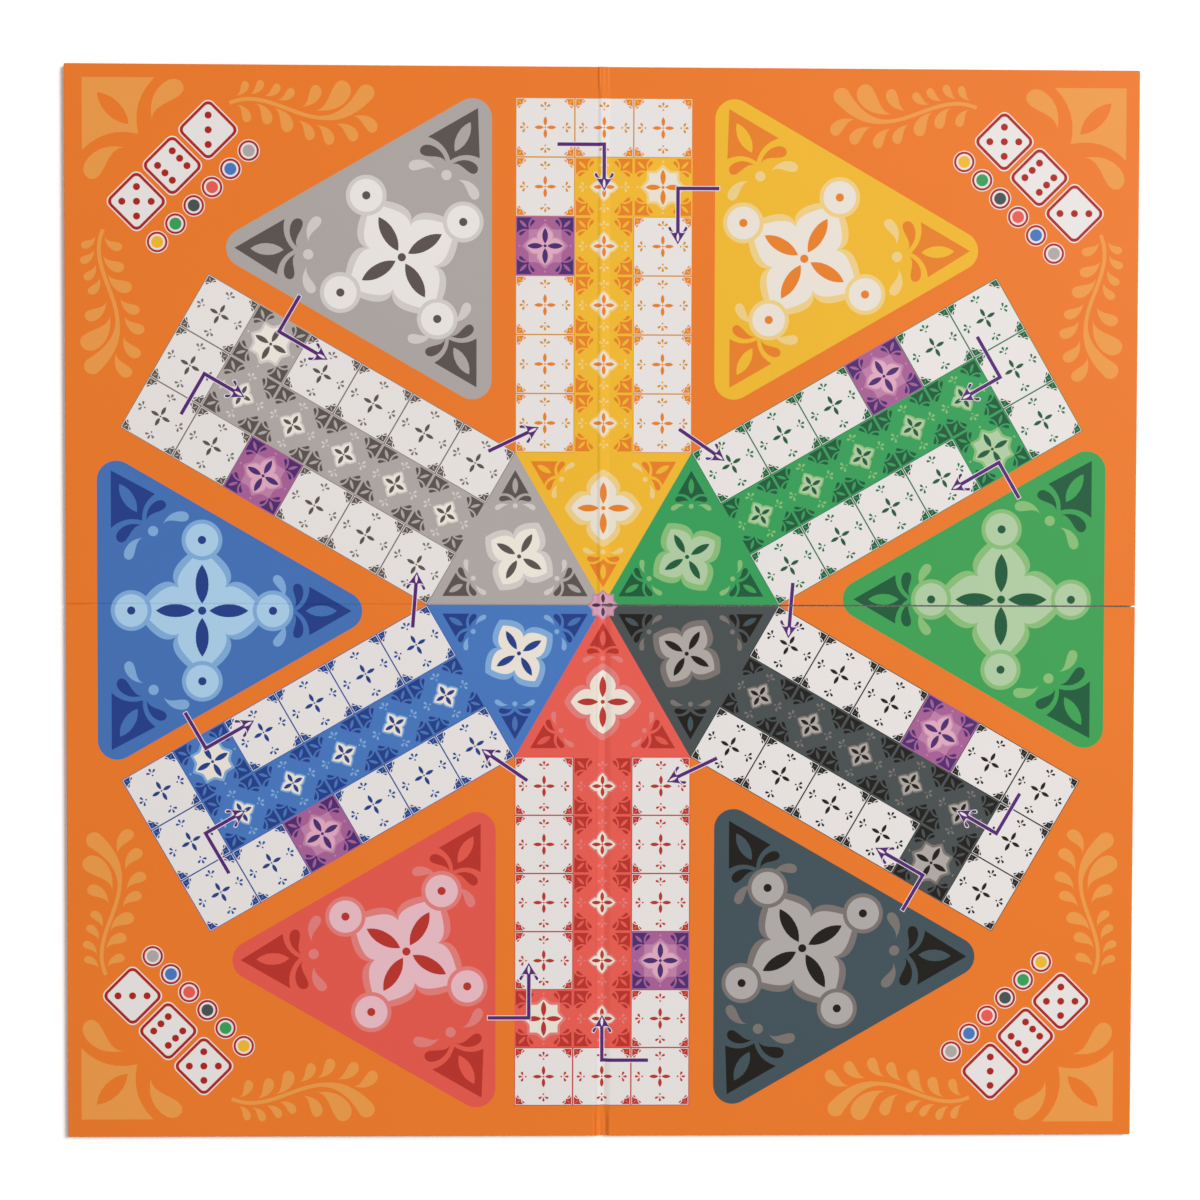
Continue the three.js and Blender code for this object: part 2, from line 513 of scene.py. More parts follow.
def arrows():
    """Into the home column, from the yard onto the lane, and on to the next arm"""
    entry = ARM_END - 0.5 * CELL - 7.4
    start_row = ARM_END - 1.5 * CELL
    turning = start_row - 0.4
    lane = CELL + 6.7
    return [
        *arrow([complex(entry, CELL - 5.4), complex(entry, 0), complex(start_row - 1.7, 0)]),
        *arrow([complex(turning, -51.5), complex(turning, -lane), complex(start_row - 25.4, -lane)]),
        *arrow([complex(79.0, -33.8), complex(64.8, -54.5)]),
    ]


CENTRE_STAR = [
    ("star_line", pointed_square(half=4.9, tip=6.9)),
    ("star", pointed_square(half=4.3, tip=6.0)),
    *petals("star_dark", start=0.9, end=5.2, width=1.7, heart=0.5),
]


def die(pips):
    spots = {
        3: (-1 - 1j, 0, 1 + 1j),
        5: (-1 - 1j, -1 + 1j, 0, 1 - 1j, 1 + 1j),
        6: (-1 - 1j, -1 + 1j, -1, 1, 1 - 1j, 1 + 1j),
    }
    layers = (("hairline", 10.3, 3.3), ("die_line", 9.8, 3.0), ("paper", 8.5, 2.0))
    shapes = [(ink, rounded(square(half), rounding, 6)) for ink, half, rounding in layers]
    return shapes + [("die_line", disc(spot * PIP_STEP, PIP_RADIUS, 16)) for spot in spots[pips]]


TOKEN_RINGS = (("hairline", 5.0), ("die_line", 4.6), ("paper", 3.6), ("base", 2.7))
TOKEN = [(ink, disc(0, radius)) for ink, radius in TOKEN_RINGS]

# The upper left corner of the board, which the other corners repeat
UPPER_LEFT = complex(-HALF_BOARD, HALF_BOARD)
DIE_PLACE = UPPER_LEFT + 48 - 45j
DIE_STEP = 22.5
TOKEN_PLACE = UPPER_LEFT + 61.5 - 58.5j
TOKEN_STEP = 11.5
ROW = direction(45)  # the dice and tokens stand in rows across the corner


# Geometry Nodes


def new_tree(name, inputs):
    """A tree and the sockets of its named inputs"""
    tree = bpy.data.node_groups.new(name, "GeometryNodeTree")
    for label, kind in {"Geometry": "Geometry", **inputs}.items():
        tree.interface.new_socket(label, in_out="INPUT", socket_type="NodeSocket" + kind)
    tree.interface.new_socket("Geometry", in_out="OUTPUT", socket_type="NodeSocketGeometry")
    return tree, tree.nodes.new("NodeGroupInput").outputs


def wire(tree, node, **inputs):
    """Gives a node its inputs, by name or by _number, as values or as sockets to link"""
    for name, value in inputs.items():
        socket = node.inputs[int(name[1:])] if name[0] == "_" else node.inputs[name.replace("_", " ")]
        if isinstance(value, bpy.types.NodeSocket):
            tree.links.new(value, socket)
        else:
            socket.default_value = value


def add_node(tree, kind, settings=None, output=0, **inputs):
    """An output of a new node that has these settings and inputs"""
    made = tree.nodes.new(kind)
    for name, value in (settings or {}).items():
        setattr(made, name, value)
    wire(tree, made, **inputs)
    return made.outputs[output]


def calculate(tree, operation, *values):
    inputs = {f"_{k}": value for k, value in enumerate(values)}
    return add_node(tree, "ShaderNodeMath", {"operation": operation}, **inputs)


def spread(tree, value, low, high, first=0.0, last=1.0, way="LINEAR"):
    """Turns a value from first to last into one from low to high"""
    ends = {"From_Min": first, "From_Max": last, "To_Min": low, "To_Max": high}
    return add_node(tree, "ShaderNodeMapRange", {"interpolation_type": way}, Value=value, **ends)


def end_tree(tree, geometry, material):
    real = add_node(tree, "GeometryNodeRealizeInstances", Geometry=geometry)
    inked = add_node(tree, "GeometryNodeSetMaterial", Geometry=real, Material=material)
    wire(tree, tree.nodes.new("NodeGroupOutput"), Geometry=inked)


def end_with_motif(tree, points, motif, turn, size, ink):
    """Sets a motif on every point, turned about the upright axis, and ends the tree"""
    shape = add_node(tree, "GeometryNodeObjectInfo", output="Geometry", Object=motif)
    upright = add_node(tree, "ShaderNodeCombineXYZ", Z=turn)
    on_points = {"Points": points, "Instance": shape, "Rotation": upright, "Scale": size}
    end_tree(tree, add_node(tree, "GeometryNodeInstanceOnPoints", **on_points), ink)


def stamp_tree():
    """Sets a motif on every point, turned by the point's own angle"""
    tree, given = new_tree("print_stamp", {"Motif": "Object", "Size": "Float", "Ink": "Material"})
    turn = add_node(tree, "GeometryNodeInputNamedAttribute", {"data_type": "FLOAT"}, Name="turn")
    end_with_motif(tree, given["Geometry"], given["Motif"], turn, given["Size"], given["Ink"])
    return tree


# The leaves of a spray in four rows: where a row starts and ends along the stem, how its leaves lean and
# grow, how far they stand from the stem and on which side
SPRAY_SIZES = ("First Leaf", "Last Leaf", "First Lean", "Last Lean", "Smallest", "Largest", "Gap", "Side")
SPRAY_SETTINGS = ("Count", *SPRAY_SIZES)
SPRAY_ROWS = (
    (4, 0.05, 0.32, 0.75, 0.8, 7.9, 8.7, 2.2, 1.0),
    (2, 0.49, 0.585, 1.1, 0.92, 12.0, 19.0, 3.0, 1.0),
    (3, 0.05, 0.31, 1.0, 0.7, 9.2, 12.6, 1.8, -1.0),
    (4, 0.49, 0.84, 0.65, 0.92, 10.4, 12.2, 3.4, -1.0),
)


def spray_tree():
    """Sets leaves along one side of a stem, growing from its start to its end"""
    sizes = dict.fromkeys(SPRAY_SIZES, "Float")
    tree, given = new_tree("leaf_spray", {"Leaf": "Object", **sizes, "Count": "Int", "Ink": "Material"})

    def times(first, second):
        return calculate(tree, "MULTIPLY", first, second)

    side = given["Side"]
    stem = add_node(tree, "GeometryNodeMeshToCurve", Mesh=given["Geometry"])
    leafy = {"Curve": stem, "Start": given["First Leaf"], "End": given["Last Leaf"]}
    row = add_node(tree, "GeometryNodeTrimCurve", **leafy)
    knots = add_node(tree, "GeometryNodeResampleCurve", Curve=row, Count=given["Count"])
    tangent = add_node(tree, "GeometryNodeInputTangent")
    heading = add_node(tree, "ShaderNodeSeparateXYZ", Vector=tangent).node.outputs
    along = calculate(tree, "ARCTAN2", heading["Y"], heading["X"])
    place = add_node(tree, "GeometryNodeSplineParameter", output="Factor")
    lean = times(spread(tree, place, given["First Lean"], given["Last Lean"]), side)
    growth = spread(tree, place, given["Smallest"], given["Largest"])
    size = add_node(tree, "ShaderNodeCombineXYZ", X=growth, Y=times(growth, side), Z=growth)
    aside = times(given["Gap"], side)
    step_x = times(calculate(tree, "SINE", along), times(aside, -1.0))
    step_y = times(calculate(tree, "COSINE", along), aside)
    beside = add_node(tree, "ShaderNodeCombineXYZ", X=step_x, Y=step_y)
    feet = add_node(tree, "GeometryNodeSetPosition", Geometry=knots, Offset=beside)
    turn = calculate(tree, "ADD", along, lean)
    end_with_motif(tree, feet, given["Leaf"], turn, size, given["Ink"])
    return tree


RELIEF_SIZES = (
    "Start", "Crest", "End", "Rise", "Edge Start", "Edge Crest", "Edge Rise", "Far Power", "Waver",
    "Score Place", "Score Width", "Score Depth", "Outer End", "Pucker Length", "Pucker Pitch",
    "Pucker Height", "Still Level", "Full Level",
)


def relief_tree():
    """Raises or sinks a strip along a fold between two lines, most at its crest, with a score line beside it
    and puckers where it comes to the edge of the board"""
    axes = {"Across": "Vector", "Outward": "Vector"}
    sizes = dict.fromkeys(RELIEF_SIZES, "Float")
    tree, given = new_tree("fold_relief", {**axes, **sizes, "Finish": "Material"})

    def maths(operation, *values):
        return calculate(tree, operation, *values)

    def ramp(value, first, last, low, high):
        return spread(tree, value, low, high, first, last, "SMOOTHSTEP")

    def part_along(axis):
        dot = {"operation": "DOT_PRODUCT"}
        return add_node(tree, "ShaderNodeVectorMath", dot, "Value", _0=position, _1=given[axis])

    def towards_end(name):
        """A setting that changes to its value for the edge of the board"""
        change = maths("SUBTRACT", given["Edge " + name], given[name])
        return maths("MULTIPLY_ADD", change, near_end, given[name])

    position = add_node(tree, "GeometryNodeInputPosition")
    across = part_along("Across")
    outward = part_along("Outward")
    fringe = maths("SUBTRACT", given["Outer End"], given["Pucker Length"])
    half_way = maths("MULTIPLY_ADD", given["Pucker Length"], 0.5, fringe)
    near_end = ramp(outward, fringe, half_way, 0.0, 1.0)

    noise = {"W": outward, "Scale": WAVER_SCALE, "Detail": 2.0}
    wander = add_node(tree, "ShaderNodeTexNoise", {"noise_dimensions": "1D"}, **noise)
    waver = maths("MULTIPLY", maths("SUBTRACT", wander, 0.5), given["Waver"])
    place = maths("SUBTRACT", across, waver)
    crest = towards_end("Crest")
    first_side = ramp(place, towards_end("Start"), crest, 0.0, 1.0)
    fall = spread(tree, place, 1.0, 0.0, crest, given["End"])
    second_side = maths("POWER", fall, given["Far Power"])
    lift = maths("MULTIPLY", maths("MINIMUM", first_side, second_side), towards_end("Rise"))

    from_score = maths("ABSOLUTE", maths("SUBTRACT", place, given["Score Place"]))
    dent = ramp(from_score, 0.0, given["Score Width"], 1.0, 0.0)
    lift = maths("SUBTRACT", lift, maths("MULTIPLY", dent, given["Score Depth"]))

    turns = maths("DIVIDE", across, given["Pucker Pitch"])
    ripple = maths("SINE", maths("MULTIPLY", turns, math.tau))
    pucker = maths("MULTIPLY", given["Pucker Height"], near_end)
    lift = maths("ADD", lift, maths("MULTIPLY", ripple, pucker))

    height = add_node(tree, "ShaderNodeSeparateXYZ", output="Z", Vector=position)
    follow = spread(tree, height, 0.0, 1.0, given["Still Level"], given["Full Level"])
    offset = add_node(tree, "ShaderNodeCombineXYZ", Z=maths("MULTIPLY", lift, follow))
    shaped = add_node(tree, "GeometryNodeSetPosition", Geometry=given["Geometry"], Offset=offset)
    end_tree(tree, shaped, given["Finish"])
    return tree


def new_object(name, data):
    made = bpy.data.objects.new(name, data)
    bpy.context.scene.collection.objects.link(made)
    return made


def grown(host, tree, values):
    """The plain mesh that a tree makes on an object"""
    modifier = host.modifiers.new(tree.name, "NODES")
    modifier.node_group = tree
    for socket in tree.interface.items_tree:
        if socket.in_out == "INPUT" and socket.name in values:
            modifier[socket.identifier] = values[socket.name]
    depsgraph = bpy.context.evaluated_depsgraph_get()
    mesh = bpy.data.meshes.new_from_object(
        host.evaluated_get(depsgraph), preserve_all_data_layers=True, depsgraph=depsgraph
    )
    host.modifiers.remove(modifier)
    return mesh


def discard(*objects):
    for gone in objects:
        mesh = gone.data
        bpy.data.objects.remove(gone)
        bpy.data.meshes.remove(mesh)


# Materials


def grain(tree, coordinates, scale, detail, stretch=None):
    """Noise at a scale in cells to the metre, about a middle of 0.5"""
    if stretch:
        coordinates = add_node(tree, "ShaderNodeMapping", Vector=coordinates, Scale=stretch)
    return add_node(tree, "ShaderNodeTexNoise", Vector=coordinates, Scale=scale, Detail=detail)


def shaded(tree, colour, value):
    """A colour made lighter or darker by a factor"""
    return add_node(tree, "ShaderNodeVectorMath", {"operation": "SCALE"}, Vector=colour, Scale=value)


def blended(tree, share, first, second):
    return add_node(tree, "ShaderNodeMix", {"data_type": "RGBA"}, 2, _0=share, _6=first, _7=second)


def printed_looks(tree):
    """Inks of uneven density, rubbed off in flecks along the turned edge"""
    place = add_node(tree, "ShaderNodeUVMap", {"uv_map": "Sheet"})
    ink = add_node(tree, "ShaderNodeAttribute", {"attribute_name": "ink"}, "Color")
    rub = add_node(tree, "ShaderNodeAttribute", {"attribute_name": "rub"}, "Fac")
    density = spread(tree, grain(tree, place, scale=14, detail=3), low=0.975, high=1.025)
    speckle = spread(tree, grain(tree, place, scale=2600, detail=1), low=0.97, high=1.03)
    flecks = spread(tree, grain(tree, place, scale=420, detail=4), 0.0, 1.0, first=0.52, last=0.66)
    worn = calculate(tree, "MULTIPLY", rub, flecks)
    inked = shaded(tree, shaded(tree, ink, density), speckle)
    gloss = spread(tree, grain(tree, place, scale=60, detail=3), low=0.44, high=0.56)
    roughness = calculate(tree, "MULTIPLY_ADD", worn, 0.3, gloss)
    fibres = grain(tree, place, scale=1500, detail=2)
    return blended(tree, worn, inked, linear("#e6dfd6")), roughness, fibres


def greyboard_looks(tree):
    """Pulp in flat layers, with darker flecks"""
    place = add_node(tree, "ShaderNodeTexCoord", output="Object")
    fibres = grain(tree, place, scale=900, detail=4, stretch=(0.25, 0.25, 3.0))
    flecks = spread(tree, grain(tree, place, scale=2400, detail=1), 0.0, 1.0, first=0.62, last=0.7)
    pulp = blended(tree, fibres, linear("#857f75"), linear("#a39c90"))
    colour = blended(tree, flecks, pulp, linear("#5f5a52"))
    return colour, spread(tree, fibres, low=0.88, high=1.0), fibres


def liner_looks(tree):
    """Uncoated paper, a little cloudy"""
    place = add_node(tree, "ShaderNodeTexCoord", output="Object")
    fibres = grain(tree, place, scale=700, detail=5, stretch=(1.0, 0.4, 1.0))
    cloud = spread(tree, grain(tree, place, scale=9, detail=3), low=0.965, high=1.02)
    paper = blended(tree, fibres, linear("#d8d0c0"), linear("#ebe5d9"))
    return shaded(tree, paper, cloud), spread(tree, fibres, low=0.78, high=0.92), fibres


def tape_looks(tree):
    """Dark cloth with threads both ways, thicker in places"""
    place = add_node(tree, "ShaderNodeUVMap", {"uv_map": "Weave"})
    thread = {"Vector": place, "Scale": 430.0, "Distortion": 0.8}
    waves = [add_node(tree, "ShaderNodeTexWave", {"bands_direction": way}, "Fac", **thread) for way in "XY"]
    weave = calculate(tree, "MAXIMUM", *waves)
    slub = spread(tree, grain(tree, place, scale=300, detail=3), low=0.8, high=1.25)
    cloth = blended(tree, weave, linear("#2a2725"), linear("#423e3a"))
    return shaded(tree, cloth, slub), spread(tree, weave, low=0.95, high=0.8), weave


def new_finish(name, looks, specular, depth, **more):
    """A material with the colour, the roughness and the fine relief that looks makes in its tree"""
    material = bpy.data.materials.new(name)
    material.use_nodes = True
    tree = material.node_tree
    colour, roughness, relief = looks(tree)
    normal = add_node(tree, "ShaderNodeBump", Height=relief, Strength=1.0, Distance=depth * MM)
    surface = {"Base_Color": colour, "Roughness": roughness, "Specular_IOR_Level": specular}
    wire(tree, tree.nodes["Principled BSDF"], **surface, Normal=normal, **more)
    return material


def assign(mesh, material):
    mesh.materials.clear()
    mesh.materials.append(material)


printed_paper = new_finish("printed_paper", printed_looks, specular=0.15, depth=0.02)
greyboard_pulp = new_finish("greyboard_pulp", greyboard_looks, specular=0.2, depth=0.15)
liner_paper = new_finish("liner_paper", liner_looks, specular=0.25, depth=0.04)
hinge_cloth = new_finish("hinge_cloth", tape_looks, specular=0.25, depth=0.06, Sheen_Weight=0.15)

# The artwork: every motif stamped at its places, as colours and outlines in the order of printing
STAMP = stamp_tree()
SPRAY = spray_tree()


def flat_mesh(name, points, edges=(), faces=()):
    mesh = bpy.data.meshes.new(name)
    mesh.from_pydata([(p.real, p.imag, 0) for p in points], edges, faces)
    return mesh


def mark(mesh, name, kind, domain, values):
    mesh.attributes.new(name, kind, domain).data.foreach_set("value", values)


def flat_object(name, shapes):
    """Outlines as one flat mesh whose faces know their ink"""
    points = []
    faces = []
    for ink, outline in shapes:
        faces.append(range(len(points), len(points) + len(outline)))
        points += outline
    mesh = flat_mesh(name, points, faces=faces)
    mark(mesh, "ink_number", "INT", "FACE", [INKS.index(ink) for ink, outline in shapes])
    return new_object(name, mesh)


def outlines_of(mesh):
    """Inks and outlines of a flat mesh, with the first point of each"""
    inks = mesh.attributes["ink_number"].data
    found = []
    for face in mesh.polygons:
        outline = [complex(*mesh.vertices[k].co[:2]) for k in face.vertices]
        found.append((INKS[inks[face.index].value], outline, face.vertices[0]))
    return found


def stamp(name, shapes, places):
    """Prints a motif at places, which are points with a turn and a player's number"""
    points, turns, players = zip(*places)
    motif = flat_object(name, shapes)
    mesh = flat_mesh(name + "_places", points)
    mark(mesh, "turn", "FLOAT", "POINT", [cmath.phase(turn) for turn in turns])
    mark(mesh, "player", "INT", "POINT", players)
    host = new_object(name + "_places", mesh)
    prints = grown(host, STAMP, {"Motif": motif, "Size": 1.0, "Ink": printed_paper})
    owners = prints.attributes["player"].data
    stamped = [(ink_colour(ink, owners[first].value), outline) for ink, outline, first in outlines_of(prints)]
    bpy.data.meshes.remove(prints)
    discard(motif, host)
    return stamped


STEM_WIDTH = 1.7
STEM_SWELLING = 5.7
SWELLS_FROM = 0.66  # share of the stem's length
SWELLING_POWER = 1.3


def board_corner():
    """The tile and the two leaf sprays in the upper left corner of the board"""
    apex = UPPER_LEFT + 8.0 - 6.1j
    tile = corner_leaf(even_arms(length=32.2, opening=90), 35.3, TILE_CORNER, ("tile", "ground"))
    knots = [UPPER_LEFT + p for p in (73.4 - 17.2j, 94.7 - 7.6j, 113.3 - 39.4j, 134.0 - 12.3j)]
    stem = curve(*knots, 40) + [knots[-1]]
    last = len(stem) - 1
    swelling = [max(k / last - SWELLS_FROM, 0) / (1 - SWELLS_FROM) for k in range(len(stem))]
    widths = [STEM_WIDTH + STEM_SWELLING * share**SWELLING_POWER for share in swelling]
    spray = [("tile", band(stem, widths)), ("tile", disc(stem[-1], widths[-1] / 2))]
    host = new_object("stem", flat_mesh("stem", stem, [(k, k + 1) for k in range(last)]))
    one_leaf = flat_object("leaf", [("tile", drop(0, 1, width=0.46, bend=-0.12, steps=24))])
    for row in SPRAY_ROWS:
        settings = dict(zip(SPRAY_SETTINGS, row))
        leaves = grown(host, SPRAY, {"Leaf": one_leaf, **settings, "Ink": printed_paper})
        spray += [(ink, outline) for ink, outline, first in outlines_of(leaves)]
        bpy.data.meshes.remove(leaves)
    discard(host, one_leaf)
    other = [(ink, mirrored(outline)) for ink, outline in placed(spray, -UPPER_LEFT)]
    return placed(tile, apex, direction(-45)) + spray + placed(other, UPPER_LEFT, -1j)


def sectors(places, lead=0.0):
    """The same places for each player, round the middle of the board from the yellow arm clockwise"""
    found = []
    for player in range(PLAYERS):
        turn = direction(90 + lead - 360 / PLAYERS * player)
        found += [(place * turn, turn, player) for place in places]
    return found


def cells(*spots):
    """Places of cells by row and column: row 0 is the outer end of an arm and column 0 its left, seen from
    the middle"""
    return sectors([complex(ARM_END - (row + 0.5) * CELL, (1 - column) * CELL) for row, column in spots])


def yard_places():
    """Yards stand between the arms, some of them a little to one side"""
    drift = (0.0, 2.9, 0.9, 1.8, 2.9, 0.6)
    return [(1j * drift[player] * turn, turn, player) for place, turn, player in sectors([0], -30)]


def corner_rows(place, count, step):
    """Places of a row that stands across each corner of the board"""
    offsets = [(k - (count - 1) / 2) * step * ROW for k in range(count)]
    places = [place + offset for offset in offsets]
    return [[(spot * turn, turn * ROW, k) for turn in QUARTERS] for k, spot in enumerate(places)]


START = (1, 2)
SAFE = (2, 0)
HOME_COLUMN = [(row, 1) for row in range(1, ARM_ROWS)]
COLOURED = (START, SAFE, *HOME_COLUMN)
ALL_CELLS = [(row, column) for row in range(ARM_ROWS) for column in range(3)]
WHITE = [spot for spot in ALL_CELLS if spot not in COLOURED]
ARM_SHAPE = [
    complex(HOME_DEPTH, -HOME_SIDE / 2),
    complex(ARM_END, -HOME_SIDE / 2),
    complex(ARM_END, HOME_SIDE / 2),
    complex(HOME_DEPTH, HOME_SIDE / 2),
]

art = stamp("corner_tile", board_corner(), [(0, turn, 0) for turn in QUARTERS])
for pips, row_places in zip((5, 6, 3), corner_rows(DIE_PLACE, 3, DIE_STEP)):
    art += stamp("die", die(pips), row_places)
for row_places in corner_rows(TOKEN_PLACE, PLAYERS, TOKEN_STEP):
    art += stamp("token", TOKEN, row_places)
art += stamp("yard", yard(), yard_places())
art += stamp("arm", [("base", ARM_SHAPE)], sectors([0]))
art += stamp("white_cell", WHITE_CELL, cells(*WHITE))
art += stamp("home_cell", HOME_CELL, cells(*HOME_COLUMN))
art += stamp("start_cell", START_CELL, cells(START))
art += stamp("safe_cell", SAFE_CELL, cells(SAFE))
art += stamp("home_triangle", home_triangle(), sectors([0]))
art += stamp("arrows", arrows(), sectors([0]))
art += stamp("centre_star", CENTRE_STAR, [(0, 1, 0)])

# The printed sheet
MERGE_WITHIN = 1e-4
ON_EDGE_WITHIN = 1e-3


def box_of(outline):
    across = [p.real for p in outline]
    along = [p.imag for p in outline]
    return min(across), max(across), min(along), max(along)


def inside(outline, points):
    """Which of an array of points lie in an outline"""
    found = np.zeros(len(points), bool)
    for a, b in zip(outline, outline[1:] + outline[:1]):
        if a.imag != b.imag:
            crossed = (a.imag > points.imag) != (b.imag > points.imag)
            at = a.real + (points.imag - a.imag) * (b.real - a.real) / (b.imag - a.imag)
            found ^= crossed & (points.real < at)
    return found


def planar_map(region, lines, to_local):
    """Cuts a region along the artwork's outlines into triangles and inks them in the order of printing.
    Returns points, triangles with their colours, and the region's own corners among the points."""
    left, right, low, high = box_of(region)
    inked = []
    for colour, outline in art:
        local = [to_local(p) for p in outline]
        a, b, c, d = box_of(local)
        if a < right and b > left and c < high and d > low:
            inked.append((colour, local))
    points = []
    edges = []
    for outline in [region, *(outline for colour, outline in inked)]:
        first = len(points)
        points += outline
        edges += [(k, k + 1) for k in range(first, len(points) - 1)] + [(len(points) - 1, first)]
    for line in lines:
        edges.append((len(points), len(points) + 1))
        points += line
    flat_points = [Vector((p.real, p.imag)) for p in points]
    found, _, triangles, sources, _, _ = delaunay_2d_cdt(flat_points, edges, [], 0, MERGE_WITHIN)
    place_of = {source: k for k, group in enumerate(sources) for source in group}
    found = np.array([complex(*p) for p in found])
    triangles = np.array(triangles)
    middles = found[triangles].mean(axis=1)
    kept = inside(region, middles)
    triangles = triangles[kept]
    middles = middles[kept]
    colours = np.tile(ink_colour("ground"), (len(middles), 1))
    for colour, outline in inked:
        a, b, c, d = box_of(outline)
        in_box = (middles.real > a) & (middles.real < b) & (middles.imag > c) & (middles.imag < d)
        near = np.flatnonzero(in_box)
        colours[near[inside(outline, middles[near])]] = colour
    rim = [place_of[k] for k in range(len(region))]
    return [complex(p) for p in found], list(zip(triangles.tolist(), colours.tolist())), rim


def edge_profile():
    """How the sheet goes on from the rim of the face: inset from the edge, level, and whether it shows"""
    angles = [math.pi / 2 * k / EDGE_STEPS for k in range(EDGE_STEPS + 1)]
    rows = []
    for angle in angles[1:]:
        inset = EDGE_ROUNDING * (1 - math.sin(angle))
        rows.append((inset, FACE_TOP - EDGE_ROUNDING * (1 - math.cos(angle)), True))
    for angle in angles:
        inset = LOWER_ROUNDING * (1 - math.cos(angle))
        rows.append((inset, TURN_IN_BOTTOM + LOWER_ROUNDING * (1 - math.sin(angle)), True))
    rows.append((TURN_IN, TURN_IN_BOTTOM, True))
    rows.append((TURN_IN, TURN_IN_TOP, True))
    rows.append((SHEET, TURN_IN_TOP, False))
    rows.append((SHEET, FACE_BACK, False))
    return rows


def strip_rows(inner, outer):
    """Where a fold strip is divided along its length: closely where it puckers, widely elsewhere"""
    rows = [outer - PUCKER_LENGTH * k / PUCKER_ROWS for k in range(1, PUCKER_ROWS + 1)]
    plain = rows[-1] - inner
    count = round(plain / STRIP_ROW)
    return rows + [rows[-1] - plain * k / count for k in range(1, count)]


def quads(rows):
    """The four corners of each face between rows of points"""
    for row, next_row in zip(rows, rows[1:]):
        yield from zip(row, row[1:], next_row[1:], next_row)


def turn_outwards(form):
    """Points the faces outwards, and keeps the edges sharp where they turn far"""
    bmesh.ops.recalc_face_normals(form, faces=form.faces)
    for edge in form.edges:
        edge.smooth = edge.calc_face_angle(0) <= SHARP_ANGLE


def finished(form, name, material):
    mesh = bpy.data.meshes.new(name)
    form.to_mesh(mesh)
    form.free()
    assign(mesh, material)
    return new_object(name, mesh)


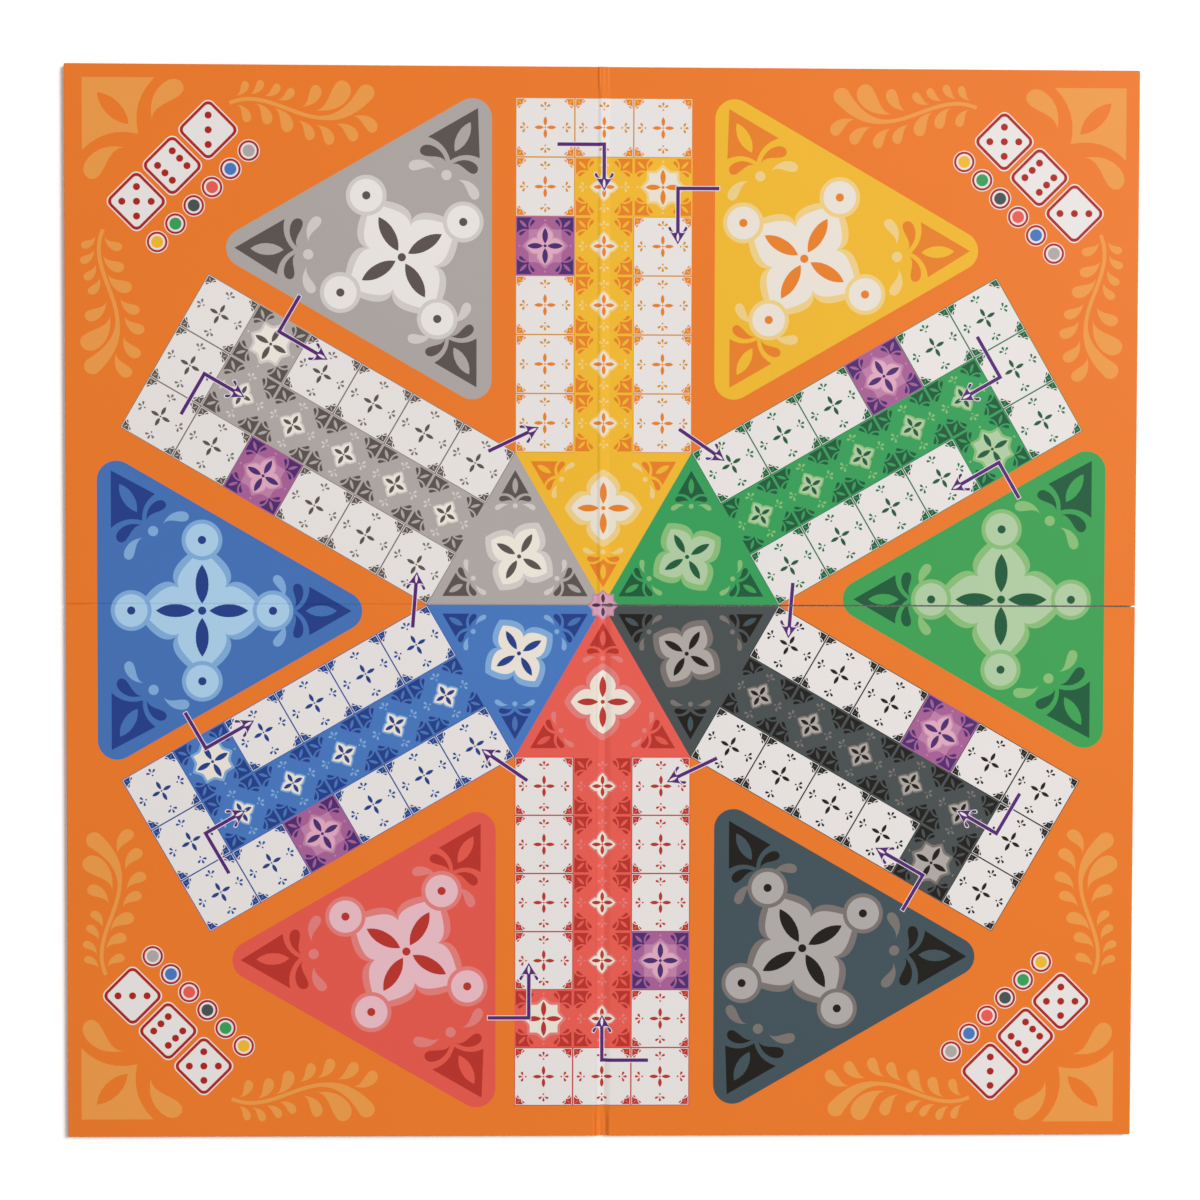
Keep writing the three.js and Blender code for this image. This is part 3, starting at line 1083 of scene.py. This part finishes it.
def printed_piece(name, low, high, columns, to_local, to_board):
    """A share of the printed sheet as a closed shell, in local axes: its outer end is at high.imag, and a
    panel, which has no columns, has a second outer edge at high.real. A strip is divided into columns."""
    panel = columns is None
    span = high - low

    def rim_place(spot, inset):
        kind, value = spot
        if kind == "end":
            return complex(value, high.imag - inset)
        if kind == "side":
            return complex(high.real - inset, value)
        radius = max(CORNER_ROUNDING - inset, LEAST_ROUNDING)
        return high - (inset + radius) * (1 + 1j) + cmath.rect(radius, value)

    if panel:
        arc = [("corner", math.pi / 2 * k / EDGE_STEPS) for k in range(EDGE_STEPS + 1)]
        spots = [("side", low.imag), *arc, ("end", low.real)]
        corners = inner_end = [low]
        lines = []
    else:
        across = [high.real - span.real * k / columns for k in range(columns + 1)]
        spots = [("end", value) for value in across]
        corners = [low, complex(high.real, low.imag)]
        inner_end = [complex(value, low.imag) for value in across]
        lines = [(p, complex(p.real, high.imag - EDGE_ROUNDING)) for p in inner_end[1:-1]]
        rows = strip_rows(low.imag, high.imag)
        lines += [(complex(low.real, row), complex(high.real, row)) for row in rows]
    rim_points = [rim_place(spot, EDGE_ROUNDING) for spot in spots]
    points, triangles, rim = planar_map(corners + rim_points, lines, to_local)

    form = bmesh.new()
    ink_layer = form.loops.layers.float_color.new("ink")
    rub_layer = form.verts.layers.float.new("rub")
    sheet_layer = form.loops.layers.uv.new("Sheet")
    bake_layer = form.loops.layers.uv.new("OFBake")
    flat_of = {}

    def vertex(p, level, rub=0.0):
        board = to_board(p)
        made = form.verts.new((board.real * MM, board.imag * MM, level * MM))
        made[rub_layer] = rub
        flat_of[made] = p
        return made

    def face(corner_list, colour, smooth, bake_at):
        made = form.faces.new(corner_list)
        made.smooth = smooth
        for loop in made.loops:
            loop[ink_layer] = colour
            loop[sheet_layer].uv = loop.vert.co.xy
            loop[bake_layer].uv = bake_at(loop.vert)

    def shares_of(v):
        p = flat_of[v] - low
        return p.real / span.real, p.imag / span.imag

    def on_face(v):
        across, along = shares_of(v)
        return across * FACE_SHARE, along * FACE_SHARE

    def on_edge(v):
        p = flat_of[v] - low
        step = FACE_SHARE + BAKE_GAP + ring_of[v] / len(profile) * (EDGE_SHARE - FACE_SHARE - BAKE_GAP)
        across, along = on_face(v)
        at_side = panel and p.real > span.real - EDGE_BAND
        at_end = p.imag > span.imag - EDGE_BAND
        return step if at_side else across, step if at_end else along

    def on_back(v):
        across, along = shares_of(v)
        return EDGE_SHARE + BAKE_GAP + across * (BACK_SHARE - EDGE_SHARE - BAKE_GAP), along * FACE_SHARE

    ground = ink_colour("ground")
    raw = ink_colour("raw_paper")
    top = [vertex(p, FACE_TOP) for p in points]
    for triangle, colour in triangles:
        face([top[k] for k in triangle], colour, not panel, on_face)
    rings = [[top[k] for k in rim[len(corners) :]]]
    for loose in [v for v in top if not v.link_faces]:
        top.remove(loose)
        form.verts.remove(loose)

    profile = edge_profile()
    for step, (inset, level, _) in enumerate(profile):
        rub = 1.0 if 0 < step < EDGE_STEPS - 1 else 0.0
        rings.append([vertex(rim_place(spot, inset), level, rub) for spot in spots])
    ring_of = {v: k for k, ring in enumerate(rings) for v in ring}
    for k, (_, _, shows) in enumerate(profile):
        for corner_list in quads(rings[k : k + 2]):
            face(corner_list, ground if shows else raw, True, on_edge)

    back_row = [vertex(p, FACE_BACK) for p in inner_end]
    back_rows = [back_row]
    if panel:
        face([*rings[-1], *back_row], raw, False, on_back)
    else:
        back_rows = [[vertex(complex(value, row), FACE_BACK) for value in across] for row in rows] + back_rows
        for corner_list in quads([rings[-1], *back_rows]):
            face(corner_list, raw, True, on_back)

    def along_edge(distance, key):
        on_it = [v for v in top if abs(distance(flat_of[v])) < ON_EDGE_WITHIN]
        return sorted(on_it, key=lambda v: key(flat_of[v]))

    first_edge = along_edge(lambda p: p.imag - low.imag, lambda p: p.real)
    last_edge = along_edge(lambda p: p.real - low.real, lambda p: -p.imag)
    if not panel:
        face([*first_edge, *back_row], raw, False, on_back)
        first_edge = along_edge(lambda p: p.real - high.real, lambda p: p.imag)
    under = rings[1:] + back_rows
    face([*first_edge, *(row[0] for row in under)], raw, False, on_back)
    face([*last_edge, *(row[-1] for row in under[::-1])], raw, False, on_back)

    turn_outwards(form)
    for a, b in zip(rings[0], rings[0][1:]):
        form.edges.get((a, b)).smooth = False
    return finished(form, name, printed_paper)


def quadrant(side_x, side_y):
    """Turns board points into a quarter's own axes, outwards from the middle, and back"""
    return lambda p: complex(side_x * p.real, side_y * p.imag)


def local_reach(node, to_local):
    """The inner and outer corners of a node in local axes"""
    ends = [to_local(complex(p.x, p.y)) for p in reach_of(node)]
    left, right, low, high = box_of(ends)
    return complex(left, low), complex(right, high)


for panel_name, (side_x, side_y) in PANELS.items():
    node_name = f"{panel_name}_printed_face"
    flip = quadrant(side_x, side_y)
    inner, outer = local_reach(node_name, flip)
    if side_x > 0:
        inner -= 1j * SLIT_LAP
    piece = printed_piece(f"{panel_name}_print", inner, outer, None, flip, flip)
    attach(piece, f"{panel_name}_panel")
    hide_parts(node_name)

RELIEF = relief_tree()

# Folds: the bodies they join, their axes, how many columns they bend in, and across them in order the lines
# where the sheet starts to rise or sink, turns and is level again, and where it is scored
FOLDS = {
    "upper_fold": {
        "bodies": ("upper_left_panel", "upper_right_panel"),
        "axes": (quadrant(1, 1), quadrant(1, 1)),
        "columns": 26,
        "far_power": 1.0,
        "sizes": {
            "Start": -3.0, "Crest": -1.3, "End": 3.0, "Rise": 0.34,
            "Edge Start": -2.95, "Edge Crest": -2.1, "Edge Rise": 0.44,
            "Score Place": 2.3, "Score Depth": 0.02, "Pucker Pitch": 2.0, "Pucker Height": -0.04,
        },
    },
    "lower_fold": {
        "bodies": ("lower_left_panel", "lower_right_panel"),
        "axes": (quadrant(1, -1), quadrant(1, -1)),
        "columns": 34,
        "far_power": 1.4,
        "sizes": {
            "Start": -2.5, "Crest": 1.2, "End": 4.0, "Rise": -0.5,
            "Edge Start": -3.4, "Edge Crest": 1.3, "Edge Rise": -0.92,
            "Score Place": -3.2, "Score Depth": 0.06, "Pucker Pitch": 8 / 3, "Pucker Height": 0.135,
        },
    },
    "left_fold": {
        "bodies": ("lower_left_panel", "upper_left_panel"),
        "axes": (lambda p: -1j * p, lambda p: 1j * p),
        "columns": 12,
        "far_power": 1.0,
        "sizes": {
            "Start": -0.6, "Crest": -0.15, "End": 0.6, "Rise": -0.3,
            "Edge Start": -0.6, "Edge Crest": -0.2, "Edge Rise": -0.45,
            "Score Place": 0.0, "Score Depth": 0.0, "Pucker Pitch": 1.2, "Pucker Height": 0.03,
        },
    },
}


def bent(piece, tree_values, node_name):
    """Gives a strip its relief and hides the part that it stands for"""
    flat = piece.data
    piece.data = grown(piece, RELIEF, tree_values)
    bpy.data.meshes.remove(flat)
    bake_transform(piece)
    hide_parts(node_name)


def hinge_tape(name, low, high, gap, columns, to_board):
    """A strip of cloth, with columns where it bends"""
    stops = [low.real, *(gap * (k / columns - 0.5) for k in range(columns + 1)), high.real]
    form = bmesh.new()
    weave = form.loops.layers.uv.new("Weave")
    rims = []
    for level in (TURN_IN_TOP, TURN_IN_BOTTOM):
        grid = []
        for k in range(TAPE_ROWS + 1):
            along = low.imag + (high.imag - low.imag) * k / TAPE_ROWS
            places = [to_board(complex(stop, along)) for stop in stops]
            grid.append([form.verts.new((p.real * MM, p.imag * MM, level * MM)) for p in places])
        for corner_list in quads(grid):
            form.faces.new(corner_list)
        left_side = [row[0] for row in grid[-2::-1]]
        right_side = [row[-1] for row in grid[1:]]
        rims.append(grid[0] + right_side + grid[-1][-2::-1] + left_side)
    for corner_list in quads(rims):
        form.faces.new(corner_list)
    turn_outwards(form)
    for face in form.faces:
        face.smooth = abs(face.normal.z) > FLAT_ENOUGH
        for loop in face.loops:
            loop[weave].uv = loop.vert.co.xy
    return finished(form, name, hinge_cloth)


for fold_name, fold in FOLDS.items():
    strip_node = f"{fold_name}_printed_strip"
    tape_node = f"{fold_name}_hinge_tape"
    to_local, to_board = fold["axes"]
    columns = fold["columns"]
    inner, outer = local_reach(strip_node, to_local)
    gap = outer.real - inner.real
    across = to_board(1)
    outward = to_board(1j)
    relief = {
        "Across": (across.real, across.imag, 0.0),
        "Outward": (outward.real, outward.imag, 0.0),
        **{name: value * MM for name, value in fold["sizes"].items()},
        "Far Power": fold["far_power"],
        "Waver": WAVER * MM,
        "Score Width": SCORE_WIDTH * MM,
        "Outer End": outer.imag * MM,
        "Pucker Length": PUCKER_LENGTH * MM,
        "Still Level": TURN_IN_TOP * MM,
        "Full Level": FACE_BACK * MM,
        "Finish": printed_paper,
    }
    start, end = (Vector((p.real, p.imag, 0)) * MM for p in (to_board(-gap / 2), to_board(gap / 2)))
    strip = printed_piece(f"{fold_name}_print", inner, outer, columns, to_local, to_board)
    bent(strip, relief, strip_node)

    inner, outer = local_reach(tape_node, to_local)
    tape = hinge_tape(f"{fold_name}_tape", inner, outer, gap, columns, to_board)
    half = gap / 2 * MM
    sink = min(TAPE_SINK, gap / 4) * MM
    sunk = {
        "Start": -half, "Crest": 0.0, "End": half, "Rise": sink, "Far Power": 1.0,
        "Edge Start": -half, "Edge Crest": 0.0, "Edge Rise": sink,
        "Score Depth": 0.0, "Pucker Height": 0.0,
        "Still Level": -MM, "Full Level": 0.0, "Finish": hinge_cloth,
    }
    bent(tape, {**relief, **sunk}, tape_node)

for panel_name in PANELS:
    assign(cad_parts[f"{panel_name}_greyboard"].data, greyboard_pulp)
    assign(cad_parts[f"{panel_name}_back_liner"].data, liner_paper)

# Studio: a pale floor, soft light from the right and the camera above the board
AMBIENT = 0.4
FLOOR_TONE = 0.9
FLOOR_TONE_SEEN = 1.12
FLOOR_HALF = 4
FLOOR_SEGMENTS = 8
FLOOR_DROP = 0.0003  # keeps the floor clear of the back of the board
FADE_START = 0.4
FADE_END = 1.2
LAMP_PLACE = (3.0, 1.6, 3.6)
LAMP_SIZE = 1.8
LAMP_POWER = 201
LENS = 50
CAMERA_PLACE = (-0.0127, 0.0191, 0.7503)
CAMERA_TURN = (-0.0225, -0.0151, 0.0027)


def seen_directly(tree):
    """1 for the camera's own rays and for reflections, 0 for the light on the object"""
    path = tree.nodes.new("ShaderNodeLightPath")
    seen = path.outputs["Is Camera Ray"]
    for other in ("Is Glossy Ray", "Is Transmission Ray"):
        seen = calculate(tree, "MAXIMUM", seen, path.outputs[other])
    return seen


def light_room():
    world = bpy.data.worlds.new("studio")
    world.use_nodes = True
    tree = world.node_tree
    strength = spread(tree, seen_directly(tree), AMBIENT, 1.0)
    wire(tree, tree.nodes["Background"], Strength=strength, Color=(1, 1, 1, 1))
    bpy.context.scene.world = world


def floor_finish():
    """Pale grey to the light on the board, and white to the camera, which sees no shade far from the board"""
    material = bpy.data.materials.new("pale_floor")
    material.use_nodes = True
    tree = material.node_tree
    tree.nodes.remove(tree.nodes["Principled BSDF"])
    seen = seen_directly(tree)
    tone = spread(tree, seen, FLOOR_TONE, FLOOR_TONE_SEEN)
    colour = add_node(tree, "ShaderNodeCombineColor", Red=tone, Green=tone, Blue=tone)
    cover = add_node(tree, "ShaderNodeBsdfDiffuse", Color=colour)
    backdrop = add_node(tree, "ShaderNodeEmission", Strength=1.0)
    place = add_node(tree, "ShaderNodeTexCoord", output="Object")
    away = add_node(tree, "ShaderNodeVectorMath", {"operation": "LENGTH"}, "Value", _0=place)
    fade = spread(tree, away, 0.0, 1.0, FADE_START, FADE_END, "SMOOTHSTEP")
    share = calculate(tree, "MULTIPLY", fade, seen)
    both = add_node(tree, "ShaderNodeMixShader", _0=share, _1=cover, _2=backdrop)
    wire(tree, tree.nodes["Material Output"], Surface=both)
    return material


def lay_floor():
    form = bmesh.new()
    bmesh.ops.create_grid(form, x_segments=FLOOR_SEGMENTS, y_segments=FLOOR_SEGMENTS, size=FLOOR_HALF)
    bmesh.ops.translate(form, verts=form.verts, vec=(0, 0, cad_low.z - FLOOR_DROP))
    finished(form, "floor", floor_finish())


def hang_lamp():
    """A soft box that faces the middle of the board"""
    lamp = bpy.data.lights.new("soft_box", "AREA")
    lamp.size = LAMP_SIZE
    lamp.energy = LAMP_POWER
    made = new_object("soft_box", lamp)
    made.location = LAMP_PLACE
    made.rotation_euler = (-Vector(LAMP_PLACE)).to_track_quat("-Z", "Y").to_euler()


def set_camera():
    camera = bpy.data.cameras.new("camera")
    camera.lens = LENS
    made = new_object("camera", camera)
    made.location = CAMERA_PLACE
    made.rotation_euler = CAMERA_TURN
    bpy.context.scene.camera = made


light_room()
lay_floor()
hang_lamp()
set_camera()
bpy.context.scene.view_settings.view_transform = "Standard"
